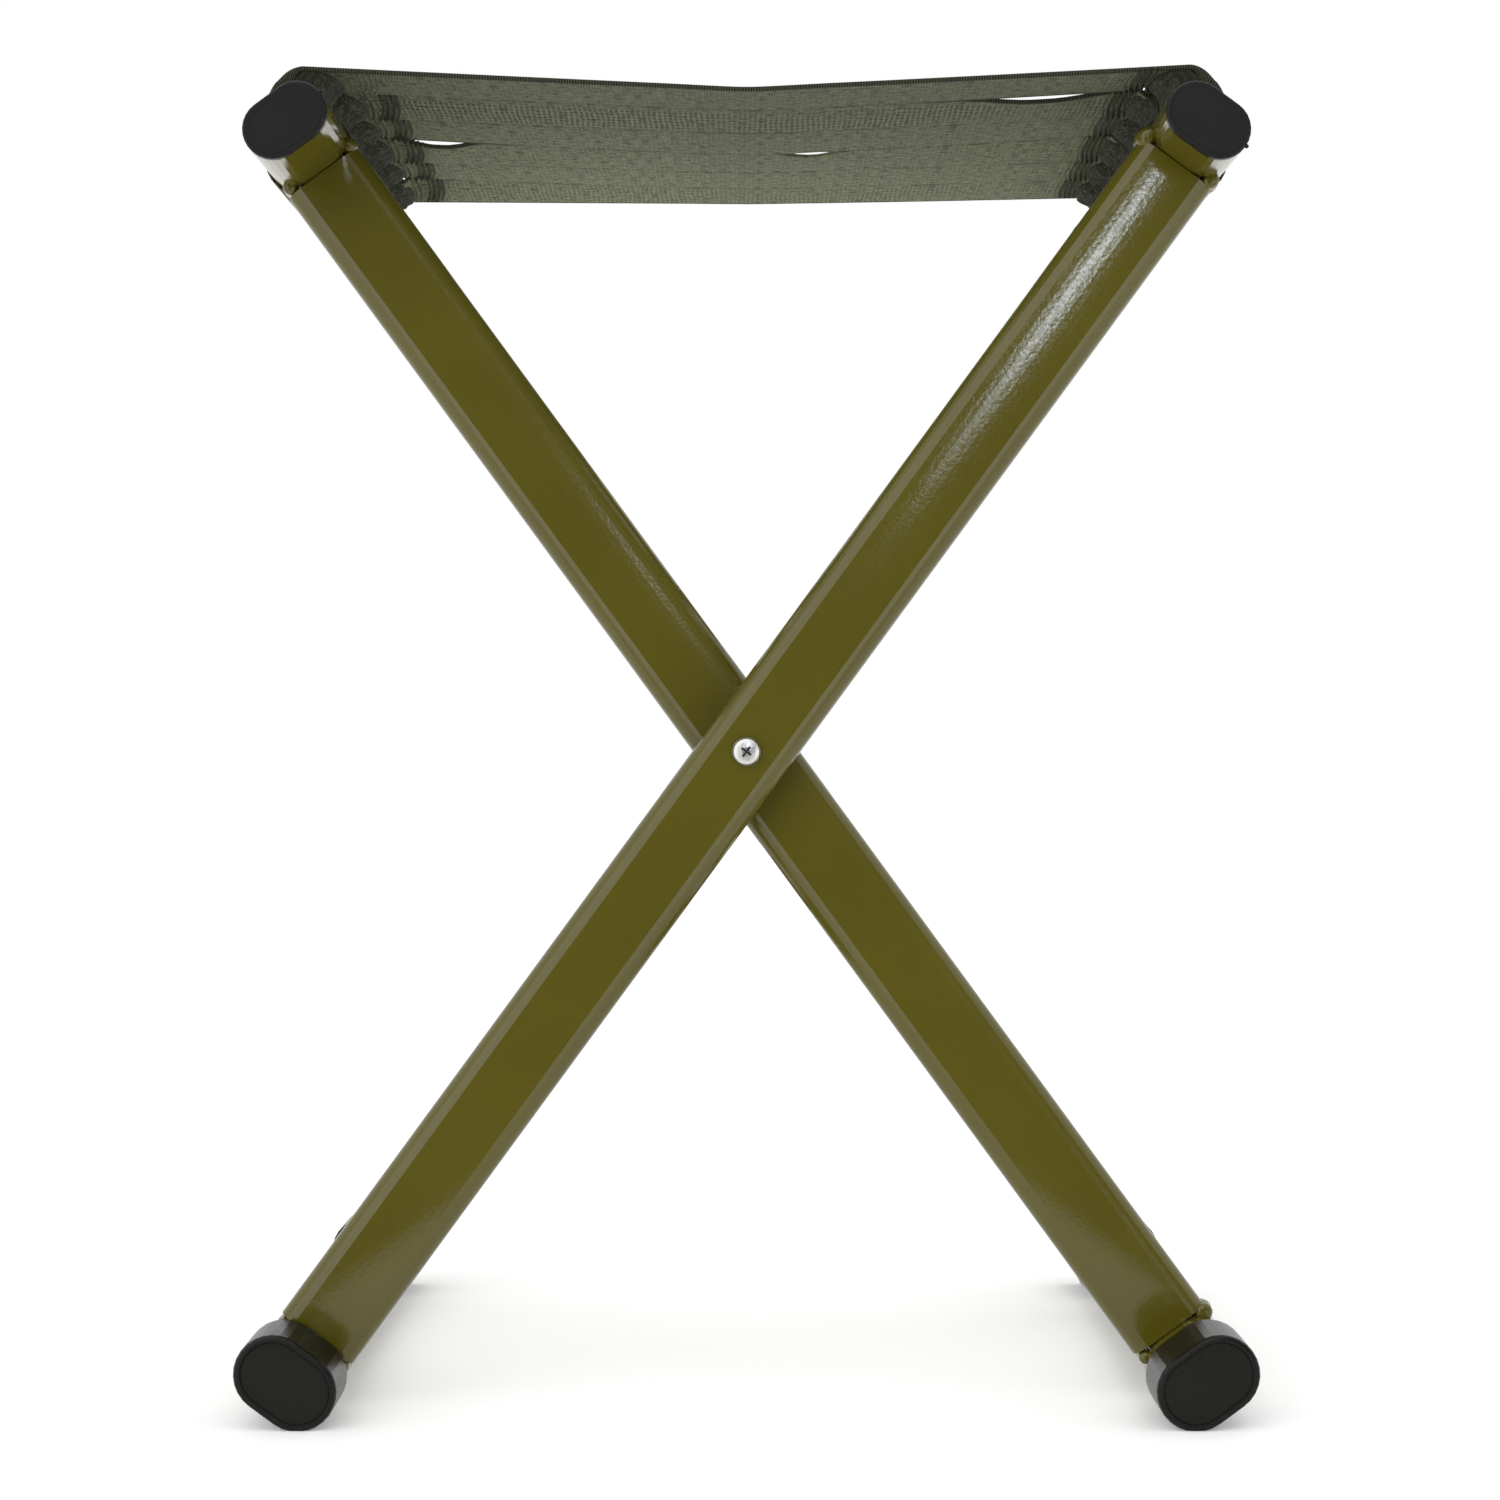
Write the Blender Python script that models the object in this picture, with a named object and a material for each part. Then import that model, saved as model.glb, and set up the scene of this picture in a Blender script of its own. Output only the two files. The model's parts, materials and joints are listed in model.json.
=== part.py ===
"""Folding camp stool: two crossed tubular frames on a common pivot, with a seat of woven straps.

Metres, +Z up, X across the fold, Y along the rails. The floor is z = 0 and the stool stands on its four feet.
Each frame is modelled upright in its own axes, with its legs along Z, and its empty leans it to its open angle.
"""

import math

import bmesh
import bpy
from mathutils import Vector

# Frame
RAIL_SPREAD = 0.305  # between the two top rails, centre to centre
RAIL_RISE = 0.417  # from the bottom rails up to the top rails, centre to centre
RAIL_WIDTH = 0.030
RAIL_THICKNESS = 0.020
RAIL_WALL = 0.0015
LEG_WIDTH = 0.030
LEG_THICKNESS = 0.015
LEG_CORNER = 0.006
LEG_FACE_RADIUS = 0.140  # of the slight crown across each wide face
LEG_WALL = 0.0012
LEG_INSET = 0.0020  # from the end of a foot's sleeve to the outer frame's leg
FIT = 0.0003  # clearance between pieces that touch

# End caps and feet
CAP_FLANGE = 0.0025
CAP_PLUG_LENGTH = 0.012
CAP_PLUG_WALL = 0.0016
FOOT_LENGTH = 0.029
FOOT_WALL = 0.0028
FOOT_END_WALL = 0.0026
FOOT_FLAT = 0.0006  # how much the ground cuts off the round underside

# Pivots
SHANK_DIAMETER = 0.006
HEAD_DIAMETER = 0.0100
HEAD_HEIGHT = 0.0034
THREAD_END = 0.0010  # how far the screw stands out of its nut
RECESS_WIDTH = 0.0060
RECESS_SLOT = 0.0012
RECESS_DEPTH = 0.0019
SPACER_THICKNESS = 0.0010
WASHER_THICKNESS = 0.0012
WASHER_DIAMETER = 0.0125
NUT_FLATS = 0.0100
NUT_HEIGHT = 0.0050
NUT_COLLAR = 0.0016

# Seat
STRAP_COUNT = 6
STRAP_WIDTH = 0.040
STRAP_GAP = 0.001
STRAP_THICKNESS = 0.002
SEAT_SAG = 0.0068  # how far the middle of the seat lies below its edges
CREASE_GAP = 0.0016
WRAP_THICKNESS = 0.0030  # of the webbing round the outer side of a rail
GATHER_THICKNESS = 0.0050  # of the gathered webbing on the inner side of a rail
NOTCH_CLEARANCE = 0.0005
RAIL_OVERHANG = 0.0155  # of a top rail with its cap, beyond the seat at each end
SEAM_STEP_DEG = 1.0  # between a strap's half and its wrap, about the seat hinge
WRAP_LIFT = 0.0006  # of a wrap's outer side, just past the crown of its rail

ARC_STEPS = 14
CORNER_STEPS = 6
FACE_STEPS = 4
ROUND_STEPS = 32

half_rise = RAIL_RISE / 2
half_spread = RAIL_SPREAD / 2
lean = math.atan2(half_spread, half_rise)
rail_reach = math.hypot(half_spread, half_rise)  # from the pivot to a rail's centre
rail_radius = RAIL_THICKNESS / 2
rail_straight = (RAIL_WIDTH - RAIL_THICKNESS) / 2  # from a rail's centre to the centre of its round end
foot_radius = rail_radius + FIT + FOOT_WALL
foot_low_point = rail_straight * math.sin(lean) + foot_radius
pivot_height = half_rise + foot_low_point - FOOT_FLAT
leg_gap = SPACER_THICKNESS + 2 * FIT
seat_depth = STRAP_COUNT * STRAP_WIDTH + (STRAP_COUNT - 1) * STRAP_GAP
depth = seat_depth + 2 * RAIL_OVERHANG  # overall, along the rails
outer_leg_face = depth / 2 - FOOT_LENGTH - LEG_INSET
inner_leg_face = outer_leg_face - LEG_THICKNESS - leg_gap
sag_angle = math.atan2(SEAT_SAG, half_spread)
gather_radius = rail_radius + FIT + GATHER_THICKNESS
strap_under = gather_radius + FIT  # from the seat hinge's axis to the underside of a strap
strap_top = strap_under + STRAP_THICKNESS
wrap_radius = rail_radius + FIT + WRAP_THICKNESS
seam_angle = lean + sag_angle  # where a strap leaves its rail, from the frame's own vertical


def clear_scene():
    for old in list(bpy.data.objects):
        bpy.data.objects.remove(old, do_unlink=True)


def material(name, colour, roughness, metallic):
    made = bpy.data.materials.new(name)
    made.use_nodes = True
    shader = made.node_tree.nodes["Principled BSDF"]
    shader.inputs["Base Color"].default_value = (*colour, 1.0)
    shader.inputs["Roughness"].default_value = roughness
    shader.inputs["Metallic"].default_value = metallic
    made.diffuse_color = (*colour, 1.0)
    return made


def carrier(name, location, turn=0.0):
    """An empty on a joint's axis, which carries the pieces of one moving body."""
    empty = bpy.data.objects.new(name, None)
    empty.empty_display_size = 0.05
    empty.location = location
    empty.rotation_euler = (0.0, turn, 0.0)
    bpy.context.scene.collection.objects.link(empty)
    return empty


def solid(name, rings, parent, look, ring_shape=False, location=(0.0, 0.0, 0.0)):
    """A closed mesh skinned over rings of equal count: joined last to first, or capped at both ends."""
    mesh = bmesh.new()
    loops = [[mesh.verts.new(point) for point in ring] for ring in rings]
    count = len(loops[0])
    pairs = list(zip(loops, loops[1:]))
    if ring_shape:
        pairs.append((loops[-1], loops[0]))
    else:
        mesh.faces.new(loops[0])
        mesh.faces.new(loops[-1])
    for first, second in pairs:
        for i in range(count):
            j = (i + 1) % count
            mesh.faces.new((first[i], first[j], second[j], second[i]))
    bmesh.ops.recalc_face_normals(mesh, faces=mesh.faces)
    data = bpy.data.meshes.new(name)
    mesh.to_mesh(data)
    mesh.free()
    data.shade_smooth()
    data.set_sharp_from_angle(angle=math.radians(35))
    made = bpy.data.objects.new(name, data)
    made.parent = parent
    made.location = location
    if look:
        data.materials.append(look)
    bpy.context.scene.collection.objects.link(made)
    return made


def cut(target, cutter):
    """Cuts cutter out of target and keeps it out of sight."""
    cutter.hide_render = True
    cutter.display_type = "WIRE"
    modifier = target.modifiers.new("Cut " + cutter.name, "BOOLEAN")
    modifier.operation = "DIFFERENCE"
    modifier.solver = "EXACT"
    modifier.object = cutter


def stadium(offset=0.0):
    """The rail's section, grown by offset: points (x, z) round the two round ends."""
    radius = rail_radius + offset
    points = []
    for end in (1, -1):
        for step in range(ARC_STEPS + 1):
            turn = math.pi * (step / ARC_STEPS - 0.5)
            points.append((end * (rail_straight + radius * math.cos(turn)), end * radius * math.sin(turn)))
    return points


def leg_section(wall=0.0):
    """Points (x, y) round a leg's section, inset by wall: crowned wide faces and round corners."""
    corner = LEG_CORNER - wall
    face = LEG_FACE_RADIUS - wall
    between = LEG_FACE_RADIUS - LEG_CORNER  # from a face's centre of curvature to a corner's
    centre = LEG_THICKNESS / 2 - LEG_FACE_RADIUS
    meeting = math.asin((LEG_WIDTH / 2 - LEG_CORNER) / between)
    quarter = []
    for step in range(CORNER_STEPS + 1):
        tilt = math.pi / 2 + (meeting - math.pi / 2) * step / CORNER_STEPS
        x = between * math.sin(meeting) + corner * math.sin(tilt)
        y = centre + between * math.cos(meeting) + corner * math.cos(tilt)
        quarter.append((x, y))
    for step in range(1, FACE_STEPS + 1):
        tilt = meeting * (1 - step / FACE_STEPS)
        quarter.append((face * math.sin(tilt), centre + face * math.cos(tilt)))
    half = quarter + [(-x, y) for x, y in reversed(quarter[:-1])]
    return half + [(-x, -y) for x, y in half]


def along_y(section, y):
    return [(x, y, z) for x, z in section]


def along_z(section, z):
    return [(x, y, z) for x, y in section]


def circle(radius, y):
    turns = [2 * math.pi * step / ROUND_STEPS for step in range(ROUND_STEPS)]
    return [(radius * math.cos(t), y, radius * math.sin(t)) for t in turns]


def hexagon(flats, y):
    """As many points as circle has, on a hexagon of that width across its flats."""
    points = []
    for step in range(ROUND_STEPS):
        turn = 2 * math.pi * step / ROUND_STEPS
        from_flat = (turn + math.pi / 6) % (math.pi / 3) - math.pi / 6
        radius = flats / 2 / math.cos(from_flat)
        points.append((radius * math.cos(turn), y, radius * math.sin(turn)))
    return points


def box(name, x, y, z, parent):
    """A plain block for cutting, from (low, high) on each axis."""
    corners = [(x[0], z[0]), (x[1], z[0]), (x[1], z[1]), (x[0], z[1])]
    return solid(name, [along_y(corners, y[0]), along_y(corners, y[1])], parent, None)


def rail(name, height, half_length, parent):
    outer = stadium()
    bore = stadium(-RAIL_WALL)
    rings = [
        along_y(outer, -half_length),
        along_y(outer, half_length),
        along_y(bore, half_length),
        along_y(bore, -half_length),
    ]
    return solid(name, rings, parent, PAINT, ring_shape=True, location=(0.0, 0.0, height))


def leg(name, face, side, parent):
    """A leg between the two rails. face is its outer face's distance from the middle, side is -1 in front."""
    half_length = rail_reach - rail_radius - FIT
    outer = leg_section()
    bore = leg_section(LEG_WALL)
    rings = [
        along_z(outer, -half_length),
        along_z(outer, half_length),
        along_z(bore, half_length),
        along_z(bore, -half_length),
    ]
    middle = side * (face - LEG_THICKNESS / 2)
    made = solid(name, rings, parent, PAINT, ring_shape=True, location=(0.0, middle, 0.0))
    reach = LEG_THICKNESS
    hole = [circle(SHANK_DIAMETER / 2 + FIT, middle - reach), circle(SHANK_DIAMETER / 2 + FIT, middle + reach)]
    cut(made, solid(name + "_hole", hole, parent, None))
    return made


def end_cap(name, height, side, parent):
    """A plug in a top rail's end, with a raised rim round its face. Distances run inwards from the face."""
    plug = -RAIL_WALL - FIT
    hollow = plug - CAP_PLUG_WALL
    profile = [
        (-0.0024, 0.0004),
        (-0.0017, 0.0004),
        (-0.0013, 0.0000),
        (-0.0007, 0.0000),
        (-0.0002, 0.0002),
        (0.0, 0.0007),
        (0.0, CAP_FLANGE),
        (plug, CAP_FLANGE),
        (plug, CAP_FLANGE + CAP_PLUG_LENGTH),
        (hollow, CAP_FLANGE + CAP_PLUG_LENGTH),
        (hollow, CAP_FLANGE),
    ]
    rings = [along_y(stadium(offset), -side * inwards) for offset, inwards in profile]
    return solid(name, rings, parent, PLASTIC, location=(0.0, side * depth / 2, height))


def foot(name, height, side, parent):
    """A sleeve over a bottom rail's end, cut flat where it stands."""
    skin = FIT + FOOT_WALL
    profile = [
        (skin - 0.0040, 0.0007),
        (skin - 0.0027, 0.0007),
        (skin - 0.0022, 0.0000),
        (skin - 0.0012, 0.0000),
        (skin - 0.0004, 0.0003),
        (skin, 0.0012),
        (skin, FOOT_LENGTH - 0.0005),
        (skin - 0.0005, FOOT_LENGTH),
        (FIT, FOOT_LENGTH),
        (FIT, FOOT_END_WALL),
    ]
    rings = [along_y(stadium(offset), -side * inwards) for offset, inwards in profile]
    made = solid(name, rings, parent, RUBBER, location=(0.0, side * depth / 2, height))
    middle = side * (depth - FOOT_LENGTH) / 2
    along = (middle - FOOT_LENGTH, middle + FOOT_LENGTH)
    ground = box(name + "_ground", (-RAIL_SPREAD, RAIL_SPREAD), along, (-FOOT_LENGTH, 0.0), None)
    cut(made, ground)
    return made


def pivot(end, side, parent):
    """The screw, spacer, washer and nut of one pivot. Distances run inwards from the outer leg's outer face."""

    def place(distance):
        return side * (outer_leg_face - distance)

    shank = SHANK_DIAMETER / 2
    head = HEAD_DIAMETER / 2
    stack = 2 * LEG_THICKNESS + leg_gap
    washer_start = stack + FIT
    nut_start = washer_start + WASHER_THICKNESS + FIT
    nut_end = nut_start + NUT_HEIGHT + NUT_COLLAR
    profile = [
        (head * 0.30, -FIT - HEAD_HEIGHT),
        (head * 0.62, -FIT - HEAD_HEIGHT * 0.93),
        (head * 0.86, -FIT - HEAD_HEIGHT * 0.72),
        (head * 0.97, -FIT - HEAD_HEIGHT * 0.40),
        (head, -FIT - HEAD_HEIGHT * 0.10),
        (head, -FIT),
        (shank, -FIT),
        (shank, nut_end + THREAD_END),
        (shank - 0.0008, nut_end + THREAD_END + 0.0008),
    ]
    screw = solid("pivot_screw_" + end, [circle(r, place(d)) for r, d in profile], parent, ZINC)
    arm, slot = RECESS_WIDTH / 2, RECESS_SLOT / 2
    cross = [
        (slot, slot), (slot, arm), (-slot, arm), (-slot, slot), (-arm, slot), (-arm, -slot),
        (-slot, -slot), (-slot, -arm), (slot, -arm), (slot, -slot), (arm, -slot), (arm, slot),
    ]
    floor = place(RECESS_DEPTH - FIT - HEAD_HEIGHT)
    mouth = place(-FIT - 2 * HEAD_HEIGHT)
    narrow = [(0.55 * x, 0.55 * z) for x, z in cross]
    cut(screw, solid(screw.name + "_recess", [along_y(narrow, floor), along_y(cross, mouth)], parent, None))

    def ring(name, thickness, start, look):
        bore, rim = shank + FIT, WASHER_DIAMETER / 2
        rings = [
            circle(rim, place(start)),
            circle(rim, place(start + thickness)),
            circle(bore, place(start + thickness)),
            circle(bore, place(start)),
        ]
        solid(name, rings, parent, look, ring_shape=True)

    ring("pivot_spacer_" + end, SPACER_THICKNESS, LEG_THICKNESS + FIT, NYLON)
    ring("pivot_washer_" + end, WASHER_THICKNESS, washer_start, ZINC)
    nut = [
        circle(NUT_FLATS * 0.47, place(nut_start)),
        hexagon(NUT_FLATS, place(nut_start + 0.0005)),
        hexagon(NUT_FLATS, place(nut_start + NUT_HEIGHT - 0.0005)),
        circle(NUT_FLATS * 0.47, place(nut_start + NUT_HEIGHT)),
        circle(NUT_FLATS * 0.44, place(nut_end)),
        circle(shank + FIT, place(nut_end)),
        circle(shank + FIT, place(nut_start)),
    ]
    solid("pivot_nut_" + end, nut, parent, ZINC, ring_shape=True)


def frame(name, body, rail_side, leg_face):
    """One welded frame with its caps and feet. rail_side is 1 where its top rail is on +X."""
    top_side, foot_side = ("right", "left") if rail_side > 0 else ("left", "right")
    rail(name + "_top_rail", rail_reach, depth / 2 - CAP_FLANGE - FIT, body)
    rail(name + "_bottom_rail", -rail_reach, depth / 2 - FOOT_END_WALL - FIT, body)
    for end, side in (("front", -1), ("rear", 1)):
        leg(f"{name}_leg_{end}", leg_face, side, body)
        end_cap(f"cap_{top_side}_{end}", rail_reach, side, body)
        foot(f"foot_{foot_side}_{end}", -rail_reach, side, body)


def wrap_stations(inner):
    """(centre x, direction, outer radius) round a rail, from under it, by its inner side and over its top.

    inner is the sign of x on the rail's inner side. A direction is an angle from straight down, inwards."""
    stations = []
    seam = math.pi - seam_angle
    for step in range(ARC_STEPS + 1):
        share = step / ARC_STEPS
        grown = math.sin(share * math.pi / 2)
        stations.append((inner, seam * share, wrap_radius + (gather_radius - wrap_radius) * grown))
    over = math.radians(SEAM_STEP_DEG)
    crown = (strap_top + wrap_radius) / 2
    for step in range(CORNER_STEPS + 1):
        share = step / CORNER_STEPS
        turn = seam + over + (math.pi - seam - over) * share
        stations.append((inner, turn, strap_top + (crown - strap_top) * share))
    for step in range(ARC_STEPS + 1):
        share = step / ARC_STEPS
        lift = WRAP_LIFT * max(0.0, 1 - 3 * share)
        stations.append((-inner, math.pi * (1 + share), wrap_radius + lift))
    return stations


def strap_wrap(name, y, inner, notch_from, parent):
    """One strap's turns round its rail. Beyond notch_from the underside is cut away, to pass the leg."""
    bore, skin = [], []
    for side, turn, radius in wrap_stations(inner):
        centre = side * rail_straight
        across, up = inner * math.sin(turn), -math.cos(turn)
        bore.append((centre + across * (rail_radius + FIT), up * (rail_radius + FIT)))
        skin.append((centre + across * radius, up * radius))
    rings = [along_y(skin, y[0]), along_y(skin, y[1]), along_y(bore, y[1]), along_y(bore, y[0])]
    made = solid(name, rings, parent, WEBBING, ring_shape=True, location=(0.0, 0.0, rail_reach))
    outermost = max(abs(y[0]), abs(y[1]))
    if outermost > notch_from:
        side = math.copysign(1.0, y[0] + y[1])
        span = sorted((side * notch_from, side * (outermost + STRAP_WIDTH)))
        low = rail_reach - 2 * RAIL_WIDTH
        notch = box(name + "_notch", (-RAIL_WIDTH, RAIL_WIDTH), span, (low, rail_reach - 0.001), parent)
        cut(made, notch)
    return made


def strap_half(name, y, inner, parent):
    """One strap from its seam at the rail to the crease in the middle of the seat."""
    down = Vector((inner * math.cos(sag_angle), 0.0, -math.sin(sag_angle)))
    up = Vector((inner * math.sin(sag_angle), 0.0, math.cos(sag_angle)))
    start = 2 * FIT + strap_top * math.radians(SEAM_STEP_DEG)
    to_crease = abs(parent.location.x) - CREASE_GAP / 2
    outline = []
    for height in (strap_under, strap_top):
        first = up * height + down * start
        length = (to_crease - inner * (up * height).x) / math.cos(sag_angle)
        last = up * height + down * length
        outline.append((first.x, first.z))
        outline.append((last.x, last.z))
    outline = [outline[0], outline[1], outline[3], outline[2]]
    return solid(name, [along_y(outline, y[0]), along_y(outline, y[1])], parent, WEBBING)


def seat(outer_frame, inner_frame):
    """The straps, numbered from the front. Each half hangs on a hinge in its rail's inner round end."""
    hinge_x = half_spread - rail_straight * math.cos(lean)
    hinge_z = pivot_height + half_rise + rail_straight * math.sin(lean)
    for side_name, inner, body, leg_face in (
        ("right", -1, outer_frame, outer_leg_face),
        ("left", 1, inner_frame, inner_leg_face),
    ):
        half = carrier("seat_" + side_name, (-inner * hinge_x, 0.0, hinge_z))
        notch_from = leg_face - LEG_THICKNESS - NOTCH_CLEARANCE
        for index in range(STRAP_COUNT):
            start = -seat_depth / 2 + index * (STRAP_WIDTH + STRAP_GAP)
            y = (start, start + STRAP_WIDTH)
            strap_wrap(f"strap_{index + 1}_wrap_{side_name}", y, inner, notch_from, body)
            strap_half(f"strap_{index + 1}_{side_name}", y, inner, half)


clear_scene()
PAINT = material("olive_paint", (0.105, 0.090, 0.014), 0.28, 0.0)
PLASTIC = material("black_plastic", (0.022, 0.022, 0.022), 0.55, 0.0)
RUBBER = material("black_rubber", (0.018, 0.018, 0.016), 0.60, 0.0)
ZINC = material("zinc_steel", (0.62, 0.61, 0.58), 0.30, 1.0)
NYLON = material("white_nylon", (0.70, 0.70, 0.66), 0.45, 0.0)
WEBBING = material("green_webbing", (0.120, 0.130, 0.090), 0.85, 0.0)

outer = carrier("outer_frame", (0.0, 0.0, pivot_height), lean)
inner = carrier("inner_frame", (0.0, 0.0, pivot_height), -lean)
frame("outer", outer, 1, outer_leg_face)
frame("inner", inner, -1, inner_leg_face)
pivot("front", -1, outer)
pivot("rear", 1, outer)
seat(outer, inner)
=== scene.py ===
"""Camp stool: webbing seat, weld beads, cap nibs, materials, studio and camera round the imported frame."""

import json
import math

import bpy
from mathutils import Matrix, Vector, noise

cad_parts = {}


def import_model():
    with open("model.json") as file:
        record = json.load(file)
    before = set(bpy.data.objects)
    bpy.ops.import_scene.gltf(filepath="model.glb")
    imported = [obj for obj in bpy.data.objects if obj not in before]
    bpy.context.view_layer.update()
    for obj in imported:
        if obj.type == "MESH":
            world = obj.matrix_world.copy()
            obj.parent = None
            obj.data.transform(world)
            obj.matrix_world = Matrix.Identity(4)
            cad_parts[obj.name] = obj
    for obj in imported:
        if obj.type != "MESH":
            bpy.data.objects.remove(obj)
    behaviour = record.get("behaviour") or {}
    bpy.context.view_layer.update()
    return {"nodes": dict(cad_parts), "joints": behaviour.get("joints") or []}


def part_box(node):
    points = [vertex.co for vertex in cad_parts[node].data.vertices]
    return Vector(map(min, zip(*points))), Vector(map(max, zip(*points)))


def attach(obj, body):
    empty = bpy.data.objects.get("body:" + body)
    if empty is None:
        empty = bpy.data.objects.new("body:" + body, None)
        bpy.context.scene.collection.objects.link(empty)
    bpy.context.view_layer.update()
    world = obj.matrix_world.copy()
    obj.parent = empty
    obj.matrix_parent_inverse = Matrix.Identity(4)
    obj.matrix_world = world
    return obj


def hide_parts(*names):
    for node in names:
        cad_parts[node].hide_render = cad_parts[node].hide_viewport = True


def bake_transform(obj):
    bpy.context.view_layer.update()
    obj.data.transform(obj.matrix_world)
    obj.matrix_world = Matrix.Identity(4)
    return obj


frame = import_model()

SIDES = (("right", 1.0, "outer_frame"), ("left", -1.0, "inner_frame"))

# ---------------------------------------------------------------- places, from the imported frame

joints = {joint["name"]: joint for joint in frame["joints"]}
PIVOT_Z = joints["fold"]["pos_m"][2]
HINGE_X, _, HINGE_Z = joints["seat_right_droop"]["pos_m"]


def middle(node):
    """The middle of a node's box."""
    low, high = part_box(node)
    return (low + high) / 2


def half_size(node):
    """Half of a node's extent along each axis."""
    low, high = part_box(node)
    return (high - low) / 2


RAIL = middle("outer_top_rail")
LEAN = math.atan2(RAIL.x, RAIL.z - PIVOT_Z)
RAIL_REACH = math.hypot(RAIL.x, RAIL.z - PIVOT_Z)
RAIL_STRAIGHT = (RAIL.x - HINGE_X) / math.cos(LEAN)  # from a rail's middle to the centre of its round end
RAIL_RADIUS = half_size("outer_top_rail").x - (RAIL.x - HINGE_X)
LEG_HALF = {side: half_size(f"{frame_name[:5]}_leg_front").y for side, _, frame_name in SIDES}
LEG_INNER_Y = {side: abs(middle(f"{name[:5]}_leg_front").y) - LEG_HALF[side] for side, _, name in SIDES}
LEG_WIDTH_HALF = 0.015  # of the wide face that looks to the front
STRAPS = [(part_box(f"strap_{i}_right")[0].y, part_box(f"strap_{i}_right")[1].y) for i in range(1, 7)]


# ---------------------------------------------------------------- materials


class Nodes:
    """A node tree, with short calls for the nodes that are used here."""

    def __init__(self, tree):
        self.tree = tree

    def node(self, kind, **values):
        made = self.tree.nodes.new(kind)
        for name, value in values.items():
            setattr(made, name, value)
        return made

    def link(self, source, target):
        self.tree.links.new(source, target)

    def feed(self, socket, value):
        if isinstance(value, bpy.types.NodeSocket):
            self.link(value, socket)
        else:
            socket.default_value = value

    def math(self, operation, *values):
        made = self.node("ShaderNodeMath", operation=operation)
        for socket, value in zip(made.inputs, values):
            self.feed(socket, value)
        return made.outputs[0]

    def ramp(self, value, low, high, to_low=0.0, to_high=1.0):
        made = self.node("ShaderNodeMapRange", interpolation_type="SMOOTHSTEP")
        for socket, number in zip(made.inputs, (value, low, high, to_low, to_high)):
            self.feed(socket, number)
        return made.outputs[0]

    def mix(self, share, first, second, blend="MIX"):
        made = self.node("ShaderNodeMix", data_type="RGBA", blend_type=blend)
        self.feed(made.inputs[0], share)
        self.feed(made.inputs[6], first)
        self.feed(made.inputs[7], second)
        return made.outputs[2]

    def noise(self, vector, scale, detail=2.0, roughness=0.5):
        made = self.node("ShaderNodeTexNoise")
        self.link(vector, made.inputs["Vector"])
        made.inputs["Scale"].default_value = scale
        made.inputs["Detail"].default_value = detail
        made.inputs["Roughness"].default_value = roughness
        return made.outputs[0]

    def bump(self, height, distance, strength=1.0, after=None):
        made = self.node("ShaderNodeBump")
        made.inputs["Strength"].default_value = strength
        made.inputs["Distance"].default_value = distance
        self.link(height, made.inputs["Height"])
        if after is not None:
            self.link(after, made.inputs["Normal"])
        return made.outputs[0]

    def coordinates(self, which="Object"):
        return self.node("ShaderNodeTexCoord").outputs[which]


class Finish(Nodes):
    """A material's nodes, round its Principled shader."""

    def __init__(self, name):
        self.material = bpy.data.materials.new(name)
        self.material.use_nodes = True
        super().__init__(self.material.node_tree)
        self.shader = self.tree.nodes["Principled BSDF"]

    def set(self, **values):
        for name, value in values.items():
            self.shader.inputs[name.replace("_", " ")].default_value = value


def rgb(r, g, b):
    return (r, g, b, 1.0)


def powder_coat():
    """Glossy olive powder coat with orange peel."""
    n = Finish("olive_powder_coat")
    place = n.coordinates()
    peel = n.noise(place, 820.0, 1.0, 0.4)
    fine = n.noise(place, 3000.0, 1.0)
    broad = n.noise(place, 24.0, 3.0)
    colour = n.mix(n.ramp(broad, 0.3, 0.7), rgb(0.091, 0.078, 0.0068), rgb(0.084, 0.071, 0.0061))
    colour = n.mix(n.ramp(fine, 0.66, 0.82, 0.0, 0.18), colour, rgb(0.13, 0.115, 0.03))
    n.link(colour, n.shader.inputs["Base Color"])
    n.link(n.ramp(peel, 0.3, 0.7, 0.10, 0.15), n.shader.inputs["Roughness"])
    n.set(IOR=1.48, Specular_IOR_Level=0.5)
    n.link(n.bump(peel, 0.000036, 0.6, n.bump(fine, 0.000004, 0.3)), n.shader.inputs["Normal"])
    return n.material


def moulded(name, dark, light, roughness, grain, depth):
    """Black moulded plastic or rubber with a fine grain: its scale is grain and its height depth."""
    n = Finish(name)
    place = n.coordinates()
    grit = n.noise(place, grain, 3.0, 0.6)
    cloud = n.noise(place, 90.0, 3.0)
    speck = n.ramp(n.noise(place, 1700.0, 2.0, 0.6), 0.60, 0.74, 0.0, 0.5)
    colour = n.mix(n.ramp(cloud, 0.3, 0.7), dark, light)
    n.link(n.mix(speck, colour, rgb(0.022, 0.022, 0.021)), n.shader.inputs["Base Color"])
    n.link(n.ramp(grit, 0.25, 0.75, roughness[0], roughness[1]), n.shader.inputs["Roughness"])
    n.set(IOR=1.45, Specular_IOR_Level=0.24)
    n.link(n.bump(grit, depth, 0.4), n.shader.inputs["Normal"])
    return n.material


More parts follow.
